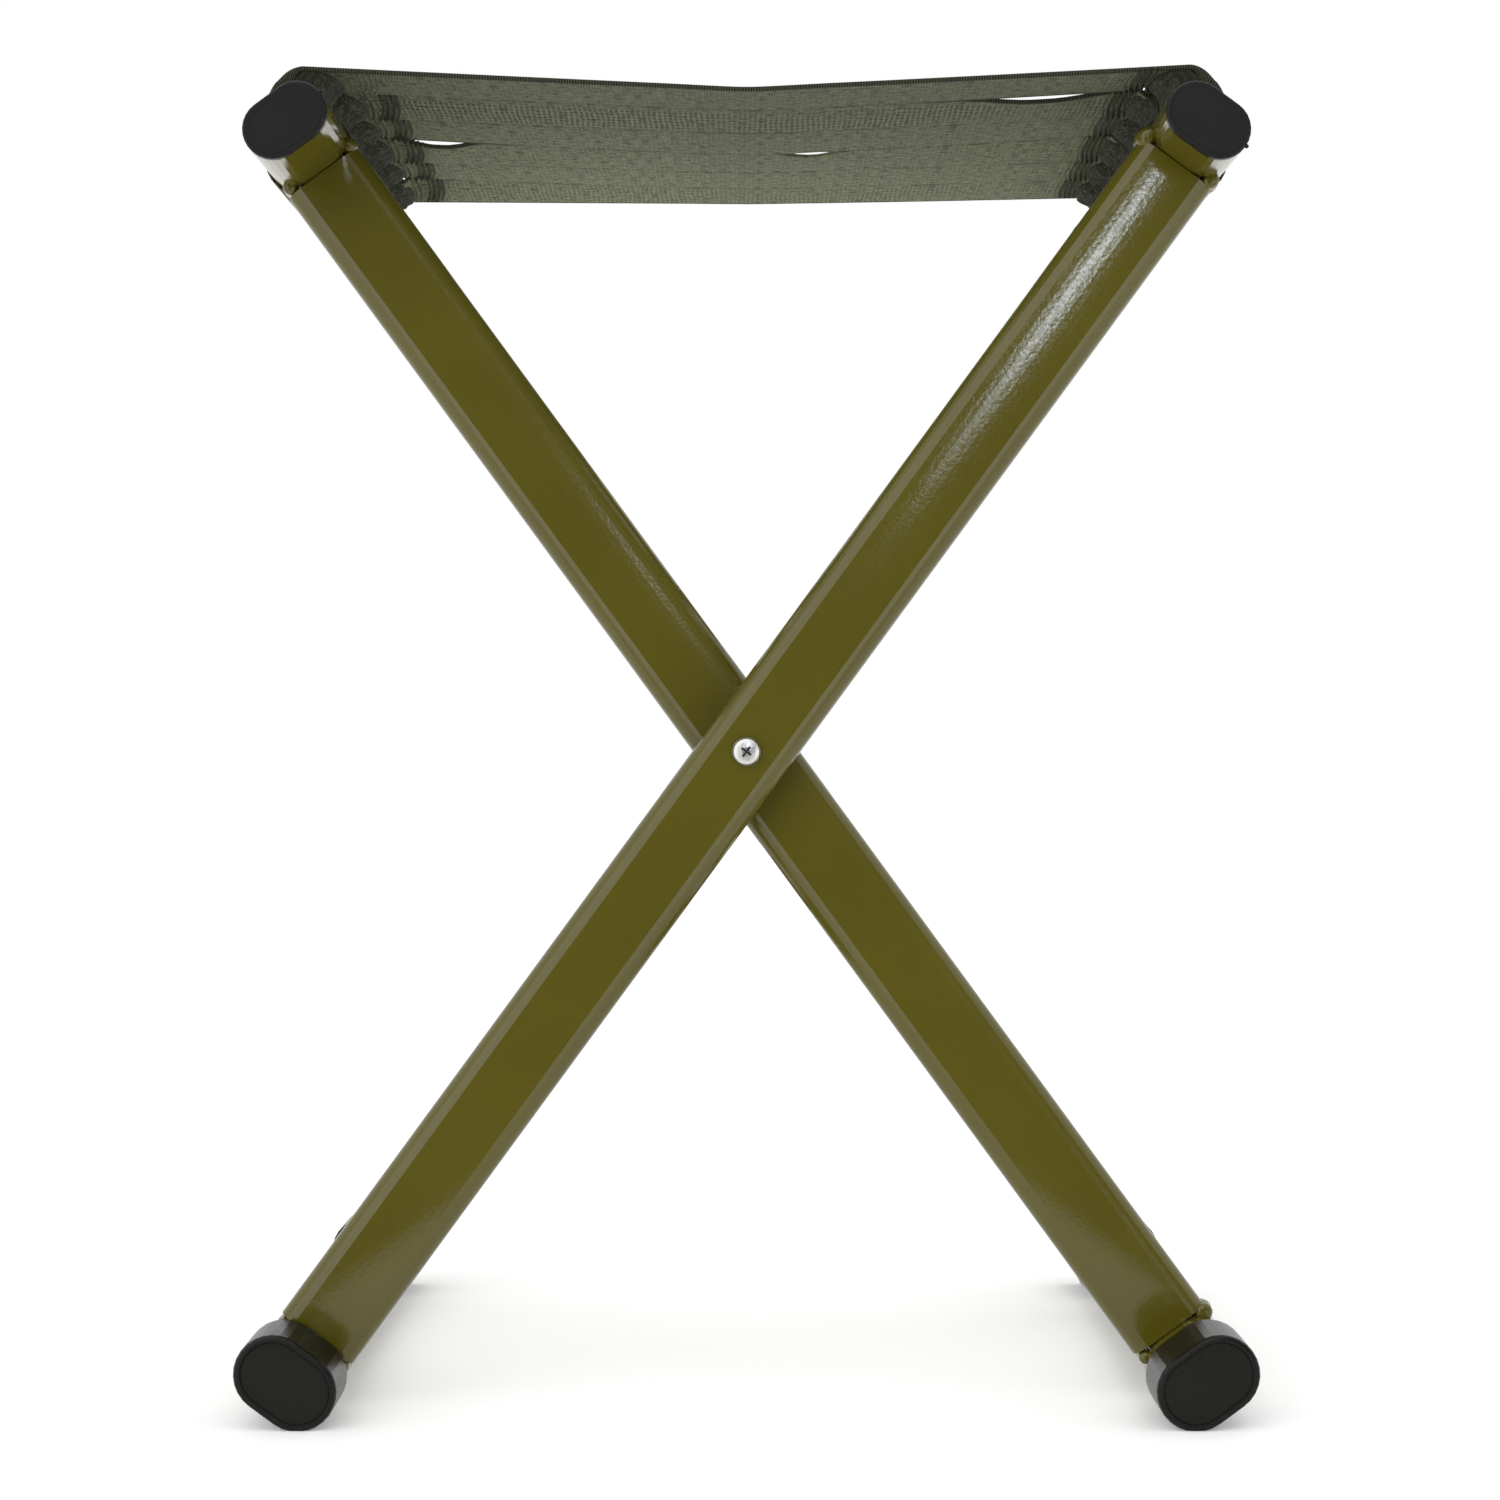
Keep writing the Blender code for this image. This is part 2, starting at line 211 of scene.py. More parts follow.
def zinc():
    """Zinc-plated steel, cloudy, with painted shade darkening the screw head's recess."""
    n = Finish("zinc_plated_steel")
    place = n.coordinates()
    cloud = n.noise(place, 700.0, 3.0, 0.6)
    grit = n.noise(place, 3800.0, 2.0)
    split = n.node("ShaderNodeSeparateXYZ")
    n.link(place, split.inputs[0])
    up = n.math("SUBTRACT", split.outputs[2], PIVOT_Z)
    radius = n.math("SQRT", n.math("ADD", n.math("POWER", split.outputs[0], 2.0), n.math("POWER", up, 2.0)))
    head = -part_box("pivot_screw_front")[0].y
    sunk = n.ramp(n.math("ABSOLUTE", split.outputs[1]), head - 0.0006, head - 0.0011)
    recess = n.math("MULTIPLY", sunk, n.ramp(radius, 0.0034, 0.0028))
    colour = n.mix(cloud, rgb(0.55, 0.55, 0.53), rgb(0.72, 0.72, 0.69))
    # Painted shade in the screw head's recess.
    colour = n.mix(n.math("MULTIPLY", recess, 0.85), colour, rgb(0.09, 0.09, 0.09))
    n.link(colour, n.shader.inputs["Base Color"])
    n.link(n.ramp(cloud, 0.3, 0.7, 0.20, 0.34), n.shader.inputs["Roughness"])
    n.set(Metallic=1.0)
    n.link(n.bump(grit, 0.00003, 0.4, n.bump(cloud, 0.0001, 0.3)), n.shader.inputs["Normal"])
    return n.material


# The weave's repeats, in metres along and across a strap
RIB_PITCH = 0.00187
ROW_PITCH = 0.0049
YARN_PITCH = 0.00078
THREAD_PITCH = 0.00047
CHAIN_PITCH = 0.00092
STRAP_WIDTH = STRAPS[0][1] - STRAPS[0][0]


def webbing(name, open_from=0.0, open_to=0.0, amount=1.0, dense_and_shaded=False):
    """Ladder-woven webbing, looser by amount from open_from to open_to across it, or dense_and_shaded for the
    gathers: darker, partly for a denser weave and partly as painted shade.

    The UV map is metres along and across a strap. The attribute "gather" is painted shade that darkens the
    colour: 0 on flat webbing and 1 at the bottom of a gather's fold; "rim" is how much of the selvedge shows."""
    n = Finish(name)
    split = n.node("ShaderNodeSeparateXYZ")
    n.link(n.node("ShaderNodeUVMap", uv_map="Strap").outputs[0], split.inputs[0])
    along, across = split.outputs[0], split.outputs[1]
    # Painted shade, read from the gather attribute.
    fold_shade = n.node("ShaderNodeAttribute", attribute_name="gather").outputs["Fac"]
    rim = n.node("ShaderNodeAttribute", attribute_name="rim").outputs["Fac"]
    place = n.coordinates("UV")
    wander = n.noise(place, 45.0, 2.0)
    shift = n.math("MULTIPLY", n.math("SUBTRACT", wander, 0.5), 0.0022)

    def wave(position, pitch):
        turns = n.math("MULTIPLY", position, 2 * math.pi / pitch)
        return n.math("MULTIPLY_ADD", n.math("SINE", turns), 0.5, 0.5)

    rib = n.ramp(wave(n.math("ADD", along, shift), RIB_PITCH), 0.35, 0.95)
    row = n.ramp(wave(n.math("ADD", across, n.math("MULTIPLY", shift, 0.5)), ROW_PITCH), 0.62, 0.25)
    yarn = wave(across, YARN_PITCH)
    thread = wave(along, THREAD_PITCH)
    loose = n.noise(place, 42.0, 3.0, 0.7)
    openness = n.ramp(loose, 0.48, 0.75, 0.0, 0.40)
    ribbed = n.ramp(loose, 0.36, 0.68, 0.14, 0.46)
    if open_to > open_from:
        band = n.math("MULTIPLY", n.ramp(across, open_from - 0.002, open_from + 0.002),
                      n.ramp(across, open_to + 0.003, open_to - 0.002))
        patchy = n.ramp(n.noise(place, 22.0, 1.0), 0.34, 0.54, 0.45 * amount, amount)
        patch = n.math("MULTIPLY", band, patchy)
        openness = n.math("MAXIMUM", openness, patch)
        ribbed = n.math("MAXIMUM", ribbed, n.math("MULTIPLY", patch, 0.9))
    hole = n.math("MULTIPLY", n.math("MULTIPLY", n.ramp(rib, 0.5, 0.1), row), openness)
    edge = n.math("MINIMUM", across, n.math("SUBTRACT", STRAP_WIDTH, across))
    selvedge = n.math("MULTIPLY", n.ramp(edge, 0.0021, 0.0015), rim)
    chain = n.math("MULTIPLY", n.ramp(wave(along, CHAIN_PITCH), 0.55, 0.92), n.ramp(edge, 0.0016, 0.0008))

    deep = rgb(0.014, 0.017, 0.010)
    # The gathered lobes' colours are a darker copy: partly a denser weave, partly painted shade.
    if dense_and_shaded:
        light, mid = rgb(0.110, 0.119, 0.080), rgb(0.016, 0.018, 0.011)
        fluff_and_glint = light
    else:
        light, mid = rgb(0.186, 0.195, 0.110), rgb(0.100, 0.106, 0.058)
        fluff_and_glint = rgb(0.27, 0.28, 0.21)
    stretch = n.node("ShaderNodeMapping")
    stretch.inputs["Scale"].default_value = (0.55, 0.75, 1.0)
    n.link(place, stretch.inputs["Vector"])
    yarns = n.noise(stretch.outputs[0], 520.0, 3.0, 0.65)
    fleck = n.noise(place, 1300.0, 3.0, 0.75)
    colour = n.mix(n.math("MULTIPLY", rib, ribbed), mid, light)
    colour = n.mix(n.ramp(yarn, 0.0, 0.6, 0.16, 0.0), colour, deep)
    colour = n.mix(n.ramp(thread, 0.0, 0.7, 0.14, 0.0), colour, deep)
    colour = n.mix(n.ramp(n.noise(place, 14.0, 4.0, 0.6), 0.35, 0.7, 0.0, 0.22), colour, light)
    colour = n.mix(n.ramp(yarns, 0.50, 0.66, 0.0, 0.72), colour, light)
    colour = n.mix(n.ramp(yarns, 0.49, 0.33, 0.0, 0.90), colour, deep)
    # Light flecks: fibre fluff on flat webbing, and painted glints on the gathered lobes.
    colour = n.mix(n.ramp(fleck, 0.54, 0.68, 0.0, 0.80), colour, fluff_and_glint)
    colour = n.mix(n.ramp(fleck, 0.47, 0.34, 0.0, 0.85), colour, deep)
    if not dense_and_shaded:
        colour = n.mix(n.math("MULTIPLY", hole, 0.75), colour, deep)
        chained = n.mix(chain, deep, rgb(0.085, 0.092, 0.060))
        colour = n.mix(n.math("MULTIPLY", selvedge, 0.92), colour, chained)
        # Painted light: the webbing's colour runs from darker at the front strap to lighter at the rear one,
        # standing in for the light that reaches the rear straps from behind and below.
        depth = n.node("ShaderNodeSeparateXYZ")
        n.link(n.coordinates(), depth.inputs[0])
        rearward = n.ramp(depth.outputs[1], STRAPS[0][0], STRAPS[-1][1])
        painted_rear_light = n.mix(rearward, rgb(0.82, 0.82, 0.81), rgb(1.30, 1.30, 1.27))
        colour = n.mix(1.0, colour, painted_rear_light, "MULTIPLY")
    # Painted shade: darken the colour towards deep where the gather attribute marks shade.
    colour = n.mix(n.ramp(fold_shade, 0.0, 1.0, 0.0, 0.9), colour, deep)
    n.link(colour, n.shader.inputs["Base Color"])
    n.link(n.ramp(fleck, 0.2, 0.8, 0.75, 0.95), n.shader.inputs["Roughness"])
    n.set(Specular_IOR_Level=0.12, Sheen_Weight=0.04, Sheen_Roughness=0.5)

    ribs = n.math("MULTIPLY", rib, n.ramp(yarn, 0.0, 1.0, 0.6, 1.0))
    height = n.math("MULTIPLY", ribs, n.ramp(ribbed, 0.0, 0.9, 0.25, 1.0))
    height = n.math("ADD", height, n.math("MULTIPLY_ADD", yarns, 0.9, n.math("MULTIPLY", thread, 0.25)))
    height = n.math("SUBTRACT", height, hole)
    height = n.math("ADD", height, n.math("MULTIPLY", n.math("MULTIPLY", chain, selvedge), 1.2))
    n.link(n.bump(height, 0.00030, 0.6, n.bump(fleck, 0.00024, 0.6)), n.shader.inputs["Normal"])
    return n.material


def nylon():
    """White nylon of the spacer between the legs."""
    n = Finish("white_nylon")
    grit = n.noise(n.coordinates(), 900.0, 3.0)
    n.link(n.mix(grit, rgb(0.62, 0.62, 0.58), rgb(0.76, 0.76, 0.72)), n.shader.inputs["Base Color"])
    n.link(n.ramp(grit, 0.3, 0.7, 0.35, 0.5), n.shader.inputs["Roughness"])
    n.link(n.bump(grit, 0.00008, 0.4), n.shader.inputs["Normal"])
    return n.material


PAINT = powder_coat()
PLASTIC = moulded(
    "black_plastic", rgb(0.0060, 0.0060, 0.0058), rgb(0.0080, 0.0080, 0.0077),
    roughness=(0.32, 0.42), grain=1500.0, depth=0.00008,
)
RUBBER = moulded(
    "black_rubber", rgb(0.0032, 0.0031, 0.0020), rgb(0.0046, 0.0045, 0.0032),
    roughness=(0.26, 0.36), grain=1100.0, depth=0.00010,
)
ZINC = zinc()
NYLON = nylon()
WEB = webbing("olive_webbing")
WEB_OPEN = webbing("olive_webbing_open", 0.006, 0.036)
WEB_LOOSE = webbing("olive_webbing_loose", 0.004, 0.037, amount=0.55)
WEB_GATHERED_SHADED = webbing("olive_webbing_gathered_shaded", dense_and_shaded=True)

FINISHES = (
    ("rail", PAINT), ("leg", PAINT), ("cap_", PLASTIC), ("foot_", RUBBER),
    ("screw", ZINC), ("washer", ZINC), ("nut", ZINC), ("spacer", NYLON),
)
for node, thing in frame["nodes"].items():
    for word, finish in FINISHES:
        if word in node:
            thing.data.materials.clear()
            thing.data.materials.append(finish)


# ---------------------------------------------------------------- mesh helpers


def outward(data, points, faces):
    """Turn a closed mesh's faces to point out."""
    volume = 0.0
    for face in faces:
        for k in range(1, len(face) - 1):
            a, b, c = (Vector(points[face[i]]) for i in (0, k, k + 1))
            volume += a.dot(b.cross(c))
    if volume < 0:
        data.flip_normals()


def side_faces(count, size):
    """The quads between count rings of size points each."""
    return [
        (i * size + j, i * size + (j + 1) % size, (i + 1) * size + (j + 1) % size, (i + 1) * size + j)
        for i in range(count - 1) for j in range(size)
    ]


def grid_object(name, rings, finish, uv, gather):
    """A flat closed body over rings, each an outer row and then an inner row back.

    uv and gather hold a value for each vertex; gather is painted shade."""
    count, size = len(rings), len(rings[0])
    points = [p for ring in rings for p in ring]
    faces = side_faces(count, size)
    half = size // 2
    for base in (0, (count - 1) * size):
        for j in range(half - 1):
            quad = (base + j, base + j + 1, base + size - 2 - j, base + size - 1 - j)
            faces.append(quad if base else quad[::-1])
    data = bpy.data.meshes.new(name)
    data.from_pydata(points, [], faces)
    outward(data, points, faces)
    layer = data.uv_layers.new(name="Strap")
    layer.uv.foreach_set("vector", [value for loop in data.loops for value in uv[loop.vertex_index]])
    attribute = data.attributes.new("gather", "FLOAT", "POINT")
    attribute.data.foreach_set("value", gather)
    data.shade_smooth()
    data.set_sharp_from_angle(angle=math.radians(50))
    data.materials.append(finish)
    made = bpy.data.objects.new(name, data)
    bpy.context.scene.collection.objects.link(made)
    return made


def tube(name, rings, finish):
    """A smooth closed body over rings of points."""
    count, size = len(rings), len(rings[0])
    points = [p for ring in rings for p in ring]
    faces = side_faces(count, size)
    faces += [tuple(range(size))[::-1], tuple(range(len(points) - size, len(points)))]
    data = bpy.data.meshes.new(name)
    data.from_pydata(points, [], faces)
    outward(data, points, faces)
    data.shade_smooth()
    data.materials.append(finish)
    made = bpy.data.objects.new(name, data)
    bpy.context.scene.collection.objects.link(made)
    smoothing = made.modifiers.new("Round", "SUBSURF")
    smoothing.levels = smoothing.render_levels = 1
    return made


def smooth(value, low, high):
    """0 at low and 1 at high, with an easy start and end. low may be the greater one."""
    share = min(1.0, max(0.0, (value - low) / (high - low)))
    return share * share * (3 - 2 * share)


# ---------------------------------------------------------------- webbing seat

WEB_THICKNESS = 0.0012
RAIL_CLEAR = 0.0003
LEG_CLEAR = 0.0006
SEAT_TOP = 0.0174  # above the seat hinge's axis, at the rail
TUCK = 0.0110  # radius of the single layer round the rail's outer side
CREST = 0.0150  # height of the doubled layers over the middle of the rail's top
HOOKED = (1, 6)  # straps that end as a hook over the rail
HOOK_END = 0.38  # where a hook stops, as a share of the way round the rail's outer round end
WRAP_END = math.radians(112)  # how far a whole wrap goes round the rail's inner round end
SAG = (0.0063, 0.0048, 0.0048, 0.0047, 0.0037, 0.0024, 0.0012)  # at the crease, at each strap's edges
LIFT = {  # of the edges at each rail
    "left": (0.0006, 0.0018, 0.0012, 0.0026, 0.0010, 0.0026, -0.0004),
    "right": (0.0012, 0.0031, 0.0022, 0.0038, 0.0016, 0.0016, 0.0015),
}
SLITS = (  # where the next strap's edge drops: strap, side, from and to (from the middle), how far
    (1, "right", 0.072, 0.134, 0.0021),
    (1, "right", 0.1365, 0.1435, 0.0022),
    (3, "left", 0.097, 0.133, 0.0024),
    (3, "right", 0.1365, 0.1430, 0.0021),
    (3, "right", 0.008, 0.041, 0.0015),
    (5, "left", 0.1340, 0.1420, 0.0019),
)
DARK_SLIT = 0.0016  # a slit deeper than this shows its selvedges
FRONT_SHORTER = 0.0030  # how much less strap 1's gathers reach inboard
FOLD_START = 0.0138  # from the hinge axis to the first fold of a gather
FOLD_PITCH = 0.0020
FOLD_HEIGHT = 0.00080
FOLDS_FROM, FOLDS_TO, FOLD_STATIONS = 0.034, 0.007, 112  # the finely divided stretch, inboard of the hinge


def slit_drop(strap, side, x):
    """How far strap's near edge lies under the strap before it."""
    rest = -0.00030 + 0.00035 * noise.noise(Vector((x * 210, strap * 5.1, 1.0 if side == "right" else 8.0)))
    drop = rest
    for before, which, low, high, depth in SLITS:
        if before == strap - 1 and which == side:
            margin = (high - low) / 2.2
            drop += (depth - rest) * smooth(x, low, low + margin) * smooth(x, high, high - margin)
    return drop


def seat_rise(strap, side, x, across):
    """Height of a strap's top over its level at the rail, at x from the middle and across (0 to 1)."""
    rail_share = min(1.0, x / HINGE_X)
    near = LIFT[side][strap - 1] * rail_share ** 1.5 - SAG[strap - 1] * (1 - rail_share)
    far = LIFT[side][strap] * rail_share ** 1.5 - SAG[strap] * (1 - rail_share)
    if strap > 1:
        near -= slit_drop(strap, side, x)
    body = near + (far - near) * across
    crown = -0.0006 * math.sin(math.pi * across) * rail_share
    return body + crown


def fold_at(strap, side, inboard, across):
    """(height, painted shade) of the gathers' folds, at inboard from the hinge axis and across (0 to 1): the
    shade darkens their troughs.
    """
    start = FOLD_START - (FRONT_SHORTER if strap == 1 else 0.0)
    start -= 0.0026 * max(0.0, (across - 0.35) / 0.65) ** 1.6 + 0.0010 * (1 - across) ** 3
    groups = [(start, 4.9, 1.1)]
    if side == "left":
        weight = 0.25 if strap == 1 else 1.1
        groups = [(start, 3.0, 0.5 * weight), (start + 0.0068 - 0.0024 * across, 4.7, weight)]
    height, dark = 0.0, 0.0
    outer_edge = {1: across, 6: 1 - across}.get(strap, 1.0)
    flatter = smooth(outer_edge, 0.0, 0.12)
    for begin, folds, weight in groups:
        turns = (inboard - begin) / FOLD_PITCH
        if 0 < turns < folds:
            envelope = weight * smooth(turns, 0, 0.4) * smooth(turns, folds, folds - 2.0)
            wobble = 0.22 * noise.noise(Vector((across * 1.1 + strap * 7.3, turns * 0.35, weight)))
            envelope *= 0.95 + 0.35 * noise.noise(Vector((across * 1.8 + strap * 3.7, turns * 0.8, 5.0)))
            phase = math.cos(2 * math.pi * (turns + wobble))
            height += FOLD_HEIGHT * envelope * phase * flatter
            # Painted shade in each fold's trough.
            dark += envelope * smooth(-phase, -0.3, 0.75)
    return height, min(1.0, dark)


def gather_reach(strap, side, edge):
    """How far a gather comes inboard of the hinge axis, at edge across the strap (-1 to 1)."""
    reach = 0.0092 + 0.0044 * (1 - abs(edge) ** 2.6)
    if strap == 1:
        reach -= FRONT_SHORTER
    return reach + 0.0005 * noise.noise(Vector((edge * 1.7, strap * 2.9, 4.0 if side == "right" else 9.0)))


def shares_of(kind, count, whole=1.0):
    """count stations of one kind, ending at whole."""
    return [(kind, whole * i / count) for i in range(1, count + 1)]


def path(hook):
    """Stations down a strap from the crease: (kind, amount). The kinds are read by strap_surface."""
    stations = []
    x = 0.0
    while x < HINGE_X - FOLDS_FROM:
        stations.append(("seat", x))
        x += 0.0012 if x < 0.006 else 0.004
    fold_step = (FOLDS_FROM - FOLDS_TO) / FOLD_STATIONS
    stations += [("seat", HINGE_X - FOLDS_FROM + fold_step * i) for i in range(FOLD_STATIONS + 1)]
    stations += [("seat", HINGE_X - FOLDS_TO * (1 - i / 7)) for i in range(1, 8)]
    stations += shares_of("crown", 10) + shares_of("flat", 6)
    if hook:
        return stations + shares_of("outer", 8, HOOK_END)
    return stations + shares_of("outer", 12) + shares_of("under", 4) + shares_of("inner", 12)


def pointing(turn):
    """Unit vector in (x, z), at turn from straight up towards the outside."""
    return Vector((math.sin(turn), math.cos(turn)))


def strap_surface(strap, side, station, across):
    """((x, z) on the outer surface, (x, z) on the inner one), with x from the middle of the seat."""
    kind, amount = station
    normal = pointing(LEAN)
    along = Vector((math.cos(LEAN), -math.sin(LEAN)))
    centre = Vector((HINGE_X, HINGE_Z))
    outer_centre = centre + along * (2 * RAIL_STRAIGHT)
    inside = RAIL_RADIUS + RAIL_CLEAR
    if kind == "seat":
        soft = math.sqrt(amount * amount + 0.004 ** 2) - 0.004 * smooth(amount, 0.03, 0.0)
        top = HINGE_Z + SEAT_TOP + seat_rise(strap, side, min(HINGE_X, soft), across)
        height, _ = fold_at(strap, side, HINGE_X - amount, across)
        return Vector((amount, top + 0.35 * height)), Vector((amount, top - WEB_THICKNESS + height))
    if kind == "crown":
        at_hinge = SEAT_TOP + seat_rise(strap, side, HINGE_X, across)
        direction = pointing(LEAN * amount)
        top = at_hinge + (CREST - at_hinge) * smooth(amount, 0.0, 1.0)
        landed = smooth(amount, 0.0, 0.75)
        under = (at_hinge - WEB_THICKNESS) * (1 - landed) + inside * landed
        return centre + direction * top, centre + direction * under
    if kind == "flat":
        height = CREST + (TUCK - CREST) * (0.55 * amount + 0.45 * smooth(amount, 0.0, 1.0))
        base = centre + along * (2 * RAIL_STRAIGHT * amount)
        return base + normal * height, base + normal * inside
    if kind == "outer":
        direction = pointing(LEAN + math.pi * amount)
        thinned = 0.0007 * smooth(amount, 0.26, HOOK_END) if strap in HOOKED else 0.0
        return outer_centre + direction * (TUCK - thinned), outer_centre + direction * inside
    if kind == "under":
        base = outer_centre - along * (2 * RAIL_STRAIGHT * amount)
        return base - normal * TUCK, base - normal * inside
    direction = pointing(LEAN + math.pi + WRAP_END * amount)
    return centre + direction * (TUCK - 0.0002), centre + direction * inside


def across_stations():
    """Shares across a strap, close together at its edges, where the selvedge rolls."""
    edge = [0.0, 0.006, 0.018, 0.034, 0.052, 0.075]
    middle_part = [0.075 + 0.85 * i / 17 for i in range(1, 17)]
    return edge + middle_part + [1 - e for e in reversed(edge)]


def selvedge(share, rim):
    """How full a strap is at this share across it: thin at the very edge, full next to it where rim is 1."""
    edge = min(share, 1 - share)
    if edge < 0.018:
        return 0.45 + 0.35 * rim if edge < 0.003 else 0.85 + 0.35 * rim
    return 1 + 0.33 * rim * (1 - smooth(edge, 0.02, 0.07))


def rim_at(strap, side, x, share):
    """How much of a selvedge shows: all of it at the seat's ends and along the slits."""
    if (strap == 1 and share < 0.5) or (strap == 6 and share > 0.5):
        return 1.0
    shown = 0.0
    for before, which, low, high, depth in SLITS:
        if which == side and depth > DARK_SLIT and before == (strap - 1 if share < 0.5 else strap):
            shown = max(shown, smooth(x, low - 0.020, low) * smooth(x, high + 0.012, high))
    dashes = noise.noise(Vector((x * 150, strap * 9.1 + (share > 0.5), 2.0)))
    return max(shown, 0.10 + 0.60 * smooth(dashes, 0.0, 0.4))


def across_place(strap, side, station, share):
    """y at a share across a strap, which narrows under the rail where a leg stands beside it."""
    near, far = STRAPS[strap - 1]
    kind, amount = station
    limit = LEG_INNER_Y[side] - LEG_CLEAR
    if strap not in HOOKED and (kind in ("under", "inner") or (kind == "outer" and amount > 0.55)):
        near, far = max(near, -limit), min(far, limit)
    return near + (far - near) * share


def build_strap(strap, side, sign):
    """A half strap, from the crease over its rail and round it. Returns the piece and its length."""
    shares = across_stations()
    rings, uv, gather, rims = [], [], [], []
    travelled, before = 0.0, None
    for station in path(strap in HOOKED):
        kind, amount = station
        mid = sum(strap_surface(strap, side, station, 0.5), Vector((0, 0))) / 2
        travelled += (mid - before).length if before is not None else 0.0
        before = mid
        outer_row, inner_row = [], []
        for share in shares:
            y = across_place(strap, side, station, share)
            outer, inner = strap_surface(strap, side, station, share)
            rim = rim_at(strap, side, amount if kind == "seat" else HINGE_X, share)
            centre, arm = (outer + inner) / 2, (outer - inner) / 2 * selvedge(share, rim)
            # Painted shade: the folds' troughs, and 0.45 on the band over the rail; the top row takes 0.3 of
            # it.
            dark = fold_at(strap, side, HINGE_X - amount, share)[1] if kind == "seat" else 0.0
            if kind in ("crown", "flat"):
                dark = 0.45
            unrolled = (sign * travelled, STRAP_WIDTH * share)
            for row, place, shade in ((outer_row, centre + arm, 0.3 * dark), (inner_row, centre - arm, dark)):
                row.append(((sign * place.x, y, place.y), unrolled, shade, rim))
        ring = outer_row + inner_row[::-1]
        rings.append([point for point, _, _, _ in ring])
        uv += [unrolled for _, unrolled, _, _ in ring]
        gather += [shade for _, _, shade, _ in ring]
        rims += [rim for _, _, _, rim in ring]
    finish = {2: WEB_OPEN, 6: WEB_LOOSE}.get(strap, WEB)
    made = grid_object(f"webbing_{strap}_{side}", rings, finish, uv, gather)
    made.data.attributes.new("rim", "FLOAT", "POINT").data.foreach_set("value", rims)
    bend(made)
    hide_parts(f"strap_{strap}_{side}", f"strap_{strap}_wrap_{side}")
    return made, travelled


def bend(piece):
    """Bake a piece's placement into its mesh."""
    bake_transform(piece)


def lump_at(seed):
    """How far a gather's skin stands out at seed."""
    big, small, fine = (noise.noise(seed * scale) for scale in (1.0, 2.7, 6.1))
    return 0.00085 * big + 0.00090 * small + 0.00055 * fine


def build_gather(strap, side, sign):
    """The strap's turned-back end, gathered into a lobe between the rail's top and the strap."""
    near, far = STRAPS[strap - 1]
    low, high = near + 0.0004, far - 0.0004
    rail = RAIL_RADIUS + 0.0004
    # The upper side: degrees round the rail, and the share of the way from the rail up to the strap
    on_rail = ((26, 0), (14, 0), (2, 0), (-10, 0), (-20, 0), (-19, 0.25), (-11, 0.62))
    steps, chain = 34, 18
    rings, uv, gather = [], [], []
    for i in range(steps + 1):
        even = 2 * i / steps - 1
        t = math.sin(math.pi / 2 * even) * 0.4 + 0.6 * even
        y = low + (high - low) * (t + 1) / 2
        full = max(0.0, 1 - abs(t) ** 9) ** 0.5
        under = SEAT_TOP - WEB_THICKNESS + seat_rise(strap, side, HINGE_X, (t + 1) / 2)
        bottom = under - 0.0024 * full
        reach = gather_reach(strap, side, t) - 0.0022 * (1 - full)
        foot = pointing(math.radians(28)) * rail
        belly = Vector((0.0046, bottom - 0.0004))
        nose = Vector((reach + 0.0014, bottom - 0.0010))
        tip = Vector((reach - 0.0006, under + 0.0002))
        lower, upper = [], []
        for j in range(chain + 1):
            k = j / chain
            place = (
                foot * (1 - k) ** 3 + belly * 3 * k * (1 - k) ** 2
                + nose * 3 * k * k * (1 - k) + tip * k ** 3
            )
            away = (place - Vector((0.0065, under - 0.0002))).normalized()
            lump = lump_at(Vector((y * 210 + strap * 11.7, k * 2.6, sign * 3.1)))
            place = place + away * lump * math.sin(math.pi * min(1.0, k * 1.15)) ** 0.5
            lower.append((sign * (HINGE_X - place.x), y, HINGE_Z + place.y))
            if j < len(on_rail):
                turn, spread = on_rail[j]
                top = pointing(math.radians(turn)) * (rail + spread * (under - rail))
            else:
                share = (j - len(on_rail)) / (chain - len(on_rail))
                top = Vector((0.0004 + (reach - 0.0014) * share, under + 0.0002))
            upper.append((sign * (HINGE_X - top.x), y, HINGE_Z + top.y))
        rings.append(lower + upper[::-1])
        uv += [(0.02 * j / chain, y - near) for j in range(chain + 1)] * 2
        # Painted shade: darker towards the lobe's thin ends.
        gather += [0.5 * (1 - full)] * (2 * (chain + 1))
    made = grid_object(f"webbing_{strap}_gather_{side}", rings, WEB_GATHERED_SHADED, uv, gather)
    bend(made)
    return made


for side, sign, body in SIDES:
    for strap in range(1, 7):
        lobe = build_gather(strap, side, sign)
        web, length = build_strap(strap, side, sign)


# ---------------------------------------------------------------- weld beads and cap nibs


def to_world(sign, u, w):
    """(x, z) at u across a frame's legs and w along them. sign is 1 for the outer frame, -1 for the inner."""
    lean = sign * LEAN
    return u * math.cos(lean) + w * math.sin(lean), PIVOT_Z - u * math.sin(lean) + w * math.cos(lean)


